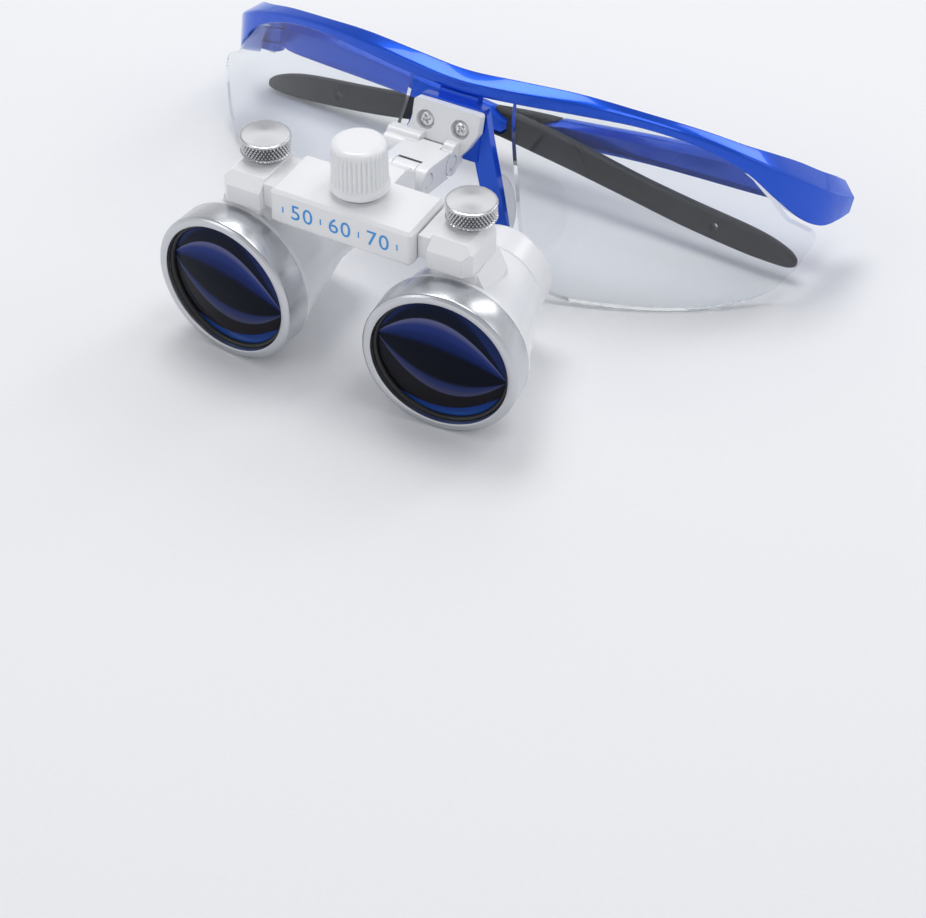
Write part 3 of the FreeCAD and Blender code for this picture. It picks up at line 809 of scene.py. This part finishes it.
@dataclass
class Temple:
    """A folded temple: blue blade with its knuckle, and the rubber tip.

    Args:
        side: which hinge it hangs on.
        turn: degrees from its rest line, counted from the hinge.
        blade: along, top, bottom and half thickness of the blue blade.
        blade_end: the same for its chamfered end.
        neck: the same for the bar between knuckle and blade.
        knuckle: radius and height round the hinge screw.
        tip: the rubber tip, as the blade.
        seat: along and height of the pocket that takes the blade.
        strap_hole: along and height of the strap hole.
        strap_radius: its radius.
    """

    side: Side
    turn: float
    blade: Rows = (
        (3.6, 3.9, -2.7, 1.5), (6.0, 4.7, -3.45, 1.7), (14.0, 4.9, -3.9, 1.7),
        (40.0, 2.4, -4.8, 1.7), (60.0, 0.1, -6.4, 1.7), (65.2, -0.5, -6.75, 1.7),
    )
    blade_end: Rows = ((68.4, -1.9, -6.9, 1.7), (69.9, -2.6, -5.5, 1.66))
    neck: Rows = ((-0.2, 1.75, -1.75, 1.5), (4.6, 1.75, -1.75, 1.5))
    knuckle: Outline = (
        (1.05, -1.8), (2.7, -1.8), (3.0, -1.5), (3.0, 1.5), (2.7, 1.8), (1.05, 1.8),
    )
    tip: Rows = (
        (64.8, -0.6, -7.45, 1.75), (70.0, -0.9, -7.9, 1.8), (78.0, -1.7, -8.9, 1.8),
        (90.0, -3.4, -10.4, 1.8), (105.0, -6.0, -12.6, 1.7), (120.0, -8.0, -14.8, 1.7),
        (135.0, -9.6, -16.3, 1.7), (142.0, -10.8, -16.6, 1.7), (147.0, -12.4, -16.6, 1.5),
        (149.0, -13.7, -16.1, 1.0), (149.5, -14.5, -15.5, 0.5),
    )
    seat: Outline = (
        (60.0, 0.1), (65.25, -0.42), (70.05, -2.55), (70.05, -5.5), (68.45, -7.0), (60.0, -6.5),
    )
    strap_hole: Point2 = (128.0, -12.2)
    strap_radius: float = 1.1

    @property
    def place(self) -> Matrix:
        """Find the temple's own frame: it runs along X from the hinge, with Z up.

        Returns:
            Where it sits.
        """
        sign = self.side.value
        angle = 180.0 - self.turn if sign > 0 else -self.turn
        return GLASSES @ moved(sign * HINGE[0], *HINGE[1:]) @ spun(angle)

    @staticmethod
    def section(row: Row, edge: float, crown: float = 0.0) -> List[Vector]:
        """One rounded section.

        Args:
            row: along, top, bottom and half thickness.
            edge: corner rounding.
            crown: how much slimmer the upper and lower edges are than the middle.

        Returns:
            Its closed ring of points.
        """
        a, top, low, half = row
        cut = min(edge, (top - low) * 0.45, half * 0.95)
        if not crown:
            corners = [(half, low), (half, top), (-half, top), (-half, low)]
            return [Vector((a, n, v)) for n, v in rounded_outline(corners, (cut,) * 4, 5)]
        slim, high, deep = half - crown, top - (top - low) * 0.3, low + (top - low) * 0.22
        outer = [(slim, low), (half, deep), (half, high), (slim, top)]
        corners = outer + [(-n, v) for n, v in reversed(outer)]
        return [Vector((a, n, v)) for n, v in rounded_outline(corners, (0.35, 0.3, 0.3, 0.35) * 2, 3)]

    def build(self, palette: Palette) -> Pieces:
        """Make the blade, knuckle and tip.

        Args:
            palette: the materials.

        Returns:
            The pieces.
        """
        word = self.side.word
        body = "temple_arm_" + word
        lacquer, black = palette["blue_lacquer"], palette["dark_rubber"]
        rows = [*smooth_rows(self.blade, 6), *self.blade_end]
        blade = Shape().loft([self.section(r, 0.8, 0.55) for r in rows])
        blade.loft([self.section(r, 0.4) for r in self.neck]).turned(self.knuckle, 48)
        arm = blade.finish("temple_blade_" + word, lacquer, self.place, 40.0, own_frame=False)
        tip = Shape().loft([self.section(r, 1.25) for r in smooth_rows(self.tip, 6)])
        rubber = tip.finish("temple_rubber_" + word, black, self.place, 60.0, own_frame=False)
        self._carve(rubber)
        settle(arm, body, "blue_lacquer", "temple_" + word)
        settle(rubber, body, "dark_rubber", "temple_tip_" + word)
        return [arm, rubber]

    def _carve(self, piece: Object) -> None:
        """Cut the blade's seat and the strap hole out of the tip.

        Args:
            piece: the rubber tip.
        """
        a, v = self.strap_hole
        through = (-4.0, 4.0)
        rubber = piece.data.materials[0]
        drill = Shape().lathe(lambda turn, row: self.strap_radius, through, 40)
        sideways = moved(a, 0.0, v) @ spun(90.0, "X")
        blank = Shape().loft([[Vector((x, y, z)) for x, z in self.seat] for y in through])
        cutters = [
            drill.finish("strap_drill", rubber, self.place @ sideways, own_frame=False),
            blank.finish("blade_seat", rubber, self.place, own_frame=False),
        ]
        cut_with(piece, cutters)


def cut_with(piece: Object, cutters: Sequence[Object]) -> None:
    """Cut shapes out of a piece for good.

    Args:
        piece: the piece that is cut.
        cutters: the shapes, which are removed afterwards.
    """
    for cutter in cutters:
        cut = piece.modifiers.new("cut", "BOOLEAN")
        cut.object = cutter
        cut.solver = "EXACT"
    bpy.context.view_layer.update()
    done = bpy.data.meshes.new_from_object(piece.evaluated_get(bpy.context.evaluated_depsgraph_get()))
    piece.modifiers.clear()
    piece.data = done
    for cutter in cutters:
        bpy.data.objects.remove(cutter)


@dataclass
class BracketScrews:
    """The two cross-head screws that hold the hinge bracket.

    Args:
        spots: their places across.
        seat: setback of the heads' underside, in the glasses frame.
        height: their height in that frame.
        turns: how far each cross is turned, degrees.
        profile: radius and height of a screw, tip first.
        slot: half length and half width of each arm of the cross.
    """

    spots: Sequence[float] = (-5.0, 3.9)
    seat: float = -3.9
    height: float = -7.0
    turns: Sequence[float] = (22.0, 53.0)
    profile: Outline = (
        (AXIS, -3.25), (0.8, -3.25), (1.05, -2.95), (1.05, 0.0), (1.72, 0.0), (1.84, 0.12),
        (1.84, 0.5), (1.74, 0.78), (1.5, 1.0), (1.1, 1.16), (0.6, 1.24), (AXIS, 1.26),
    )
    slot: Point2 = (1.25, 0.34)

    def build(self, palette: Palette) -> Pieces:
        """Make both screws as one piece.

        Args:
            palette: the materials.

        Returns:
            The pieces.
        """
        screws, cutters = Shape(), []
        for spot, angle in zip(self.spots, self.turns):
            place = Matrix.Translation((spot, self.seat, self.height)) @ spun(90.0, "X") @ spun(angle)
            before = len(screws.mesh.verts)
            screws.lathe(lambda turn, row: self.profile[row][0], [z for _, z in self.profile], 48)
            bmesh.ops.transform(screws.mesh, matrix=place, verts=list(screws.mesh.verts)[before:])
            for long, wide in (self.slot, self.slot[::-1]):
                plan = [(-long, -wide), (long, -wide), (long, wide), (-long, wide)]
                depths = ((0.45, 0.72), (1.6, 1.08))
                slot = Shape().loft([[Vector((x * k, y * k, z)) for x, y in plan] for z, k in depths])
                slot.mesh.transform(place)
                cutters.append(slot.finish("slot", palette["steel"], GLASSES, own_frame=False))
        piece = screws.finish("bracket_cross_screws", palette["steel"], GLASSES, 40.0, own_frame=False)
        cut_with(piece, cutters)
        return [settle(piece, "frame", "steel", "bracket_screws")]


# ---------------- loupes
@dataclass
class ThumbScrew:
    """A thumb screw with a diamond-knurled rim.

    Args:
        side: which barrel it clamps.
        radius: outer radius of the head.
        diamonds: knurls round the rim.
        depth: depth of the grooves between them.
        painted_shade_depth: depth from which a groove gets the darker painted shade.
        knurled: heights between which the knurl runs.
        shank: radius and height of everything below it.
        crown: radius and height of everything above it.
    """

    side: Side
    radius: float = 5.7
    diamonds: int = 40
    depth: float = 0.62
    painted_shade_depth: float = 0.46
    knurled: Point2 = (45.85, 49.25)
    shank: Outline = (
        (AXIS, 33.2), (1.5, 33.2), (1.5, 44.6), (4.4, 44.6), (4.4, 45.5), (5.1, 45.5), (5.45, 45.62),
    )
    crown: Outline = (
        (5.7, 49.28), (5.66, 49.44), (5.55, 49.58), (5.35, 49.65), (4.9, 49.69),
        (4.0, 49.75), (3.0, 49.83), (2.0, 49.91), (1.0, 49.97), (AXIS, 50.0),
    )

    def radius_at(self, turn: float, z: float) -> float:
        """Radius of the rim.

        Args:
            turn: angle in turns.
            z: height.

        Returns:
            The radius there.
        """
        lower, upper = self.knurled
        if not lower <= z <= upper:
            return self.radius
        pitch = math.tau * self.radius / self.diamonds
        lift = (z - lower) / (pitch * 1.5)
        ridges = []
        for sign in (1, -1):
            wave = (turn * self.diamonds + sign * lift) % 1.0
            ridges.append(abs(wave * 2.0 - 1.0))
        fade = min(1.0, (z - lower) / 0.2, (upper - z) / 0.2)
        return self.radius - self.depth * fade * (1.0 - min(ridges)) ** 0.9

    def build(self, palette: Palette) -> Pieces:
        """Make the screw.

        Args:
            palette: the materials.

        Returns:
            The pieces.
        """
        lower, upper = self.knurled
        spacing = 0.11
        # A radius of 0 stands for the knurl.
        knurl = [(0.0, lower + spacing * k) for k in range(math.ceil((upper - lower) / spacing))]
        rows = [*self.shank, *knurl, *self.crown]

        def radius(turn: float, row: int) -> float:
            """Radius of one point, by its angle in turns and its row."""
            return rows[row][0] or self.radius_at(turn, rows[row][1])

        shape = Shape().lathe(radius, [z for _, z in rows], self.diamonds * 8)
        place = moved(self.side.value * THUMB_X, THUMB_Y, 0.0)
        word = self.side.word
        piece = shape.finish("thumb_knob_" + word, palette["spun_steel"], place, 48.0)
        # Faces deep in the knurl's grooves get the painted shade.
        piece.data.materials.append(palette["knurl_painted_shade"])
        for face in piece.data.polygons:
            reach = math.hypot(face.center.x, face.center.y) / MM
            if lower + 0.05 < face.center.z / MM < upper - 0.05 and reach < self.radius - self.painted_shade_depth:
                face.material_index = 1
        return [settle(piece, "thumb_" + word, "steel", "thumb_screw_" + word)]


@dataclass
class SpacingKnob:
    """The fluted centre knob.

    Args:
        flutes: grooves round the knob.
        depth: depth of a groove.
        setback: how far it stands in front of the thumb screws.
        flange: radius and height of the foot.
        grip: radius and height at both ends of the fluted part.
        cap: radius and height of the rounded top.
        fluted: heights between which the grooves run.
    """

    flutes: int = 36
    depth: float = 0.42
    setback: float = 3.0
    flange: Outline = (
        (1.5, 45.5), (5.0, 45.5), (5.05, 46.2), (5.6, 46.35), (6.25, 46.5), (6.5, 46.7), (6.6, 47.0),
        (6.6, 47.8), (6.52, 48.15), (6.35, 48.4),
    )
    grip: Outline = ((6.26, 48.6), (6.14, 56.4))
    cap: Outline = (
        (6.08, 56.8), (5.9, 57.25), (5.6, 57.62), (5.2, 57.88), (4.7, 58.02), (4.1, 58.08), (2.2, 58.09),
        (AXIS, 58.1),
    )
    fluted: Point2 = (48.6, 57.3)

    def build(self, palette: Palette) -> Pieces:
        """Make the knob.

        Args:
            palette: the materials.

        Returns:
            The pieces.
        """
        (wide, foot), (slim, head) = self.grip
        shares = [k / 30 for k in range(31)]
        middle = [(wide + (slim - wide) * t, foot + (head - foot) * t) for t in shares]
        rows = [*self.flange, *middle, *self.cap]
        low, high = self.fluted

        def radius(turn: float, row: int) -> float:
            """Radius of one point.

            Args:
                turn: its angle in turns.
                row: its row.

            Returns:
                The radius.
            """
            r, z = rows[row]
            if not low < z < high:
                return r
            fade = min(1.0, (z - low) / 0.35, (high - z) / 1.1)
            wave = 0.5 + 0.5 * math.cos(turn * self.flutes * math.tau)
            return r - self.depth * max(fade, 0.0) * (1.0 - wave) ** 2.2

        shape = Shape().lathe(radius, [z for _, z in rows], self.flutes * 10)
        place = moved(0.0, THUMB_Y - self.setback, 0.0)
        knob = shape.finish("spacing_knob", palette["white_plastic"], place, 60.0)
        return [settle(knob, "knob", "white_plastic", "pd_knob")]


@dataclass
class Barrel:
    """The turned parts of one loupe barrel, counted back from its front face.

    Args:
        side: which barrel.
        toe_out: degrees that the barrel turns outward.
        glass_radius: radius of the objective.
        front_glass: depth of its front face at the rim, and how far the middle stands out.
        back_glass: the same for its back face.
        ring: radius and depth of the silver front ring's outline.
        cell: the same for the dark cell that holds the glass.
    """

    side: Side
    toe_out: float = 5.5
    glass_radius: float = 14.96
    front_glass: Point2 = (2.0, -1.2)
    back_glass: Point2 = (6.2, 1.0)
    ring: Outline = (
        (15.95, 0.5), (16.05, 0.15), (16.25, 0.02), (17.35, 0.0), (17.6, 0.08), (17.68, 0.2), (17.9, 0.28),
        (18.1, 0.55), (18.2, 0.95), (18.2, 6.95), (18.14, 7.2), (18.0, 7.38), (17.6, 7.4), (17.1, 7.4),
        (17.1, 3.4), (15.45, 3.4), (15.45, 2.7), (15.75, 1.9), (15.9, 1.0),
    )
    cell: Outline = (
        (15.8, 1.3), (15.6, 1.15), (15.35, 1.25), (15.1, 1.6), (15.0, 2.1), (15.0, 3.35), (15.44, 3.35),
        (15.44, 2.7), (15.7, 1.9),
    )

    @property
    def place(self) -> Matrix:
        """Find the barrel's own frame: +Z runs back from the middle of the front face.

        Returns:
            Where it sits.
        """
        sign = self.side.value
        pivot = moved(sign * THUMB_X, THUMB_Y, BARREL_HEIGHT)
        return pivot @ spun(sign * self.toe_out) @ moved(0.0, -BARREL_REACH, 0.0) @ spun(-90.0, "X")

    def build(self, palette: Palette) -> Pieces:
        """Make the ring, the objective and its dark cell.

        Args:
            palette: the materials.

        Returns:
            The pieces.
        """
        word, place = self.side.word, self.place
        body = "barrel_" + word
        ring = Shape().turned(self.ring, 160).finish("ring_" + word, palette["silver_metal"], place, 40.0)
        settle(ring, body, "silver_metal", "front_ring_" + word)
        cell = Shape().turned(self.cell).finish("lens_cell_" + word, palette["black_plastic"], place, 40.0)
        shares = [k / 24 for k in range(25)]
        outline = []
        for (rim, dome), run in ((self.front_glass, shares[::-1]), (self.back_glass, shares)):
            for share in run:
                outline.append((max(self.glass_radius * share, 10 * AXIS), rim + dome * (1.0 - share**2)))
        glass = Shape().turned(outline).finish("objective_" + word, palette["objective_glass"], place, 50.0)
        settle(glass, body, "objective_glass", "objective_lens_" + word)
        return [ring, glass, settle(cell, body, "black_plastic")]


@dataclass
class SpacingScale:
    """The printed spacing scale on the front bar.

    Args:
        numbers: the printed numbers, left to right.
        height: letter height.
        font_ratio: font size over letter height.
        pitch: distance between numbers.
        middle: height of the middle of the letters.
        tick: half width, lowest and highest point of a tick.
        print_depth: how far the ink stands out.
    """

    numbers: Sequence[str] = ("50", "60", "70")
    height: float = 3.9
    font_ratio: float = 1.38
    pitch: float = 9.4
    middle: float = 40.9
    tick: Row = (0.16, 40.2, 41.7)
    print_depth: float = 0.04

    def build(self, palette: Palette) -> Pieces:
        """Print the numbers and ticks.

        Args:
            palette: the materials.

        Returns:
            The pieces.
        """
        ink = palette["scale_ink"]
        pieces = []
        steps = len(self.numbers) - 1
        for i, number in enumerate(self.numbers):
            words = bpy.data.curves.new("number", "FONT")
            words.body = number
            words.size = self.height * self.font_ratio * MM
            words.align_x = "CENTER"
            words.align_y = "CENTER"
            words.extrude = self.print_depth / 2 * MM
            words.space_character = 1.12
            words.materials.append(ink)
            piece = linked("scale_number_" + number, words)
            piece.rotation_euler = Euler((math.radians(90.0), 0.0, 0.0))
            across = (i - steps / 2) * self.pitch
            piece.location = Vector((across, BAR_FACE_Y - self.print_depth, self.middle)) * MM
            pieces.append(settle(piece, "loupe_body", "white_plastic"))
        ticks = Shape()
        wide, low, high = self.tick
        for k in range(-steps - 1, steps + 2, 2):
            x = k * self.pitch / 2
            flat = [(x - wide, low), (x + wide, low), (x + wide, high), (x - wide, high)]
            ticks.loft([[Vector((a, y, b)) for a, b in flat] for y in (0.0, -self.print_depth)])
        lines = ticks.finish("scale_ticks", ink, moved(0.0, BAR_FACE_Y, 0.0))
        return [*pieces, settle(lines, "loupe_body", "white_plastic")]


# ---------------- stage
@dataclass(frozen=True)
class Softbox:
    """One area light.

    Args:
        name: light name.
        place: where it stands, metres.
        target: what it points at.
        size: width and height.
        power: watts.
    """

    name: str
    place: Triple
    target: Triple
    size: Point2
    power: float


@dataclass
class Studio:
    """Camera, floor and light.

    Args:
        camera_at: camera place, metres.
        looks: viewing direction.
        roll: camera roll in degrees.
        lens: focal length for a 36 mm wide sensor.
        boxes: the soft lights.
        sky: colours of the world by the height of the ray.
        floor: colours between which the floor varies.
    """

    camera_at: Triple = (0.21149, -0.39120, 0.33957)
    looks: Triple = (-0.34479, 0.65765, -0.66979)
    roll: float = 0.69
    lens: float = 91.09
    boxes: Sequence[Softbox] = (
        Softbox("key", (-0.25, 0.20, 0.85), (0.0, 0.0, 0.02), (0.45, 0.35), 2.6),
        Softbox("top", (0.25, 0.05, 0.85), (0.0, 0.0, 0.0), (0.5, 0.3), 1.1),
        Softbox("back", (-0.45, 0.80, 0.78), (0.0, 0.0, 0.04), (0.7, 0.35), 0.45),
        Softbox("fill", (-0.50, -0.60, 0.45), (0.0, 0.0, 0.02), (0.4, 0.3), 0.5),
        Softbox("side", (0.80, 0.42, 0.63), (0.05, 0.03, 0.03), (0.5, 0.4), 0.5),
        Softbox("rear", (0.355, 0.75, 0.655), (0.06, 0.02, 0.04), (0.18, 0.5), 1.0),
    )
    sky: Sequence[Stop] = (
        (0.0, (0.80, 0.81, 0.83)), (0.32, (0.60, 0.61, 0.63)), (0.95, (0.28, 0.29, 0.32)),
    )
    floor: Sequence[Stop] = ((0.0, (0.90, 0.905, 0.915)), (1.0, (0.93, 0.935, 0.94)))

    def build(self) -> None:
        """Set the camera, the floor, the lights and the world."""
        scene = bpy.context.scene
        data = bpy.data.cameras.new("camera")
        data.sensor_width = 36.0
        data.lens = self.lens
        data.clip_start = 0.01
        camera = linked("camera", data)
        aim = Vector(self.looks).to_track_quat("-Z", "Y").to_matrix().to_4x4()
        camera.matrix_world = Matrix.Translation(self.camera_at) @ aim @ spun(self.roll)
        scene.camera = camera
        for box in self.boxes:
            lamp = bpy.data.lights.new(box.name, "AREA")
            lamp.shape = "RECTANGLE"
            lamp.size, lamp.size_y = box.size
            lamp.energy = box.power
            thing = linked(box.name, lamp)
            thing.location = box.place
            ray = Vector(box.target) - Vector(box.place)
            thing.rotation_euler = ray.to_track_quat("-Z", "Y").to_euler()
        self._floor()
        self._world()
        scene.view_settings.view_transform = "Standard"

    def _world(self) -> None:
        """Make the grey surroundings, lighter towards the ground."""
        world = bpy.data.worlds.new("studio")
        world.use_nodes = True
        wiring = Wiring(world.node_tree)
        up = wiring.add("SeparateXYZ", Vector=wiring.coordinates("Generated")).outputs["Z"]
        background = world.node_tree.nodes["Background"]
        wiring.feed(background.inputs["Color"], wiring.ramp(up, self.sky))
        background.inputs["Strength"].default_value = 1.0
        bpy.context.scene.world = world

    def _floor(self) -> None:
        """Make the pale floor."""
        half, corners = 3000.0, ((-1, -1), (1, -1), (1, 1), (-1, 1))
        slab = Shape().loft([[Vector((x * half, y * half, z)) for x, y in corners] for z in (-20.0, -0.01)])
        material = bpy.data.materials.new("look_floor")
        material.use_nodes = True
        wiring = Wiring(material.node_tree)
        shader = material.node_tree.nodes["Principled BSDF"]
        shader.inputs["Roughness"].default_value = 0.7
        shader.inputs["Specular IOR Level"].default_value = 0.2
        noise = wiring.add("TexNoise", Vector=wiring.coordinates("Object"), Scale=900.0)
        wiring.feed(shader.inputs["Base Color"], wiring.ramp(noise.outputs["Fac"], self.floor))
        slab.finish("floor", material, Matrix.Identity(4))


def dress_cad(palette: Palette) -> None:
    """Give every CAD node the material of its slot.

    Args:
        palette: the materials.
    """
    slots = {row["node"]: row["material_slot"] for row in frame["record"]["subparts"]}
    for name, thing in frame["nodes"].items():
        thing.data.materials.clear()
        thing.data.materials.append(palette[slots[name]])
        LOG.info("node %s: %s", name, slots[name])


def main() -> None:
    """Dress the CAD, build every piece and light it."""
    logging.basicConfig(level=logging.INFO)
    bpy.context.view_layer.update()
    palette = Palette(ShaderGroups())
    for name, (finish, texture) in FINISHES.items():
        palette.add(name, finish, texture)
    dress_cad(palette)
    assemblies = [BrowBar(), BracketScrews(), Temple(Side.RIGHT, 1.6), Temple(Side.LEFT, 2.6)]
    assemblies += [SpacingKnob(), SpacingScale()]
    assemblies += [kind(side) for side in Side for kind in (ThumbScrew, Barrel)]
    for assembly in assemblies:
        for piece in assembly.build(palette):
            LOG.info("piece %s of %s", piece.name, type(assembly).__name__)
    Studio().build()
    bpy.context.view_layer.update()
    LOG.info("scene built")


if __name__ == "__main__":
    main()
